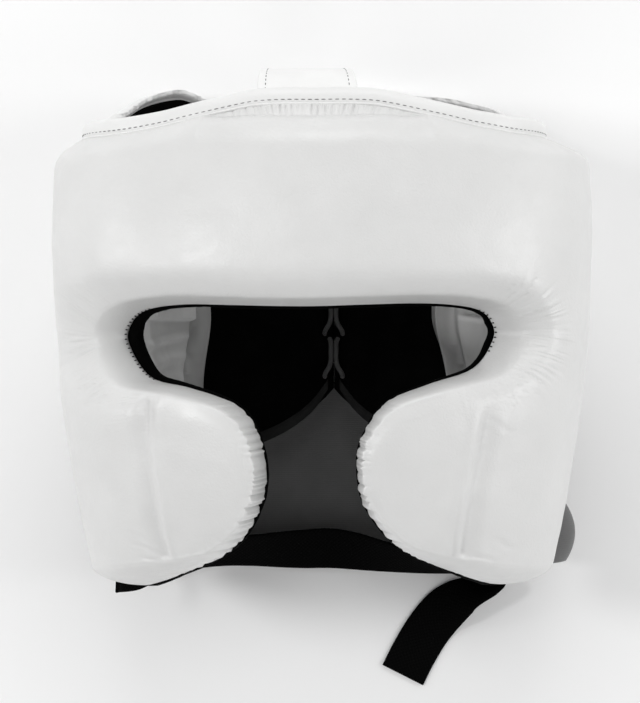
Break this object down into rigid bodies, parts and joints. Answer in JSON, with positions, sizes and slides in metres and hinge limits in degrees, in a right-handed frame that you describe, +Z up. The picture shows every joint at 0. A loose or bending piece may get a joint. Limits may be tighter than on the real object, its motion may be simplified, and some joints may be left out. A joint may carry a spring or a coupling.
{
  "type": "boxing head guard",
  "caption": "Padded white leather head guard for boxing, with an eye slot, cheek pads, black lining, laced back, elastic nape panel, crown strap and chin strap.",
  "frame": {"origin": "on the floor under the middle of the guard as it lies on its back", "axes": "+X to the right of someone who looks into the face opening with the crown away from them, +Y from the chin to the crown, +Z up out of the face opening"},
  "size_m": [0.257, 0.3149, 0.2297],
  "materials": {
    "white_leather": "semi-gloss white leather with a fine grain",
    "inner_leather": "soft matt pale grey leather",
    "black_lining": "matt black napped lining",
    "dark_lace": "round braided lace",
    "grey_elastic": "ribbed grey elastic",
    "black_webbing": "woven black webbing"
  },
  "bodies": {
    "root": {"face_pad": "white_leather", "face_lining": "black_lining", "brow_binding": "white_leather", "crown_strap": "white_leather", "ear_pocket_left": "inner_leather", "ear_pocket_right": "inner_leather", "back_flap_left": "white_leather", "back_flap_right": "white_leather", "back_lining_left": "black_lining", "back_lining_right": "black_lining", "back_lace": "dark_lace", "nape_panel": "grey_elastic", "chin_strap": "black_webbing"}
  },
  "joints": []
}
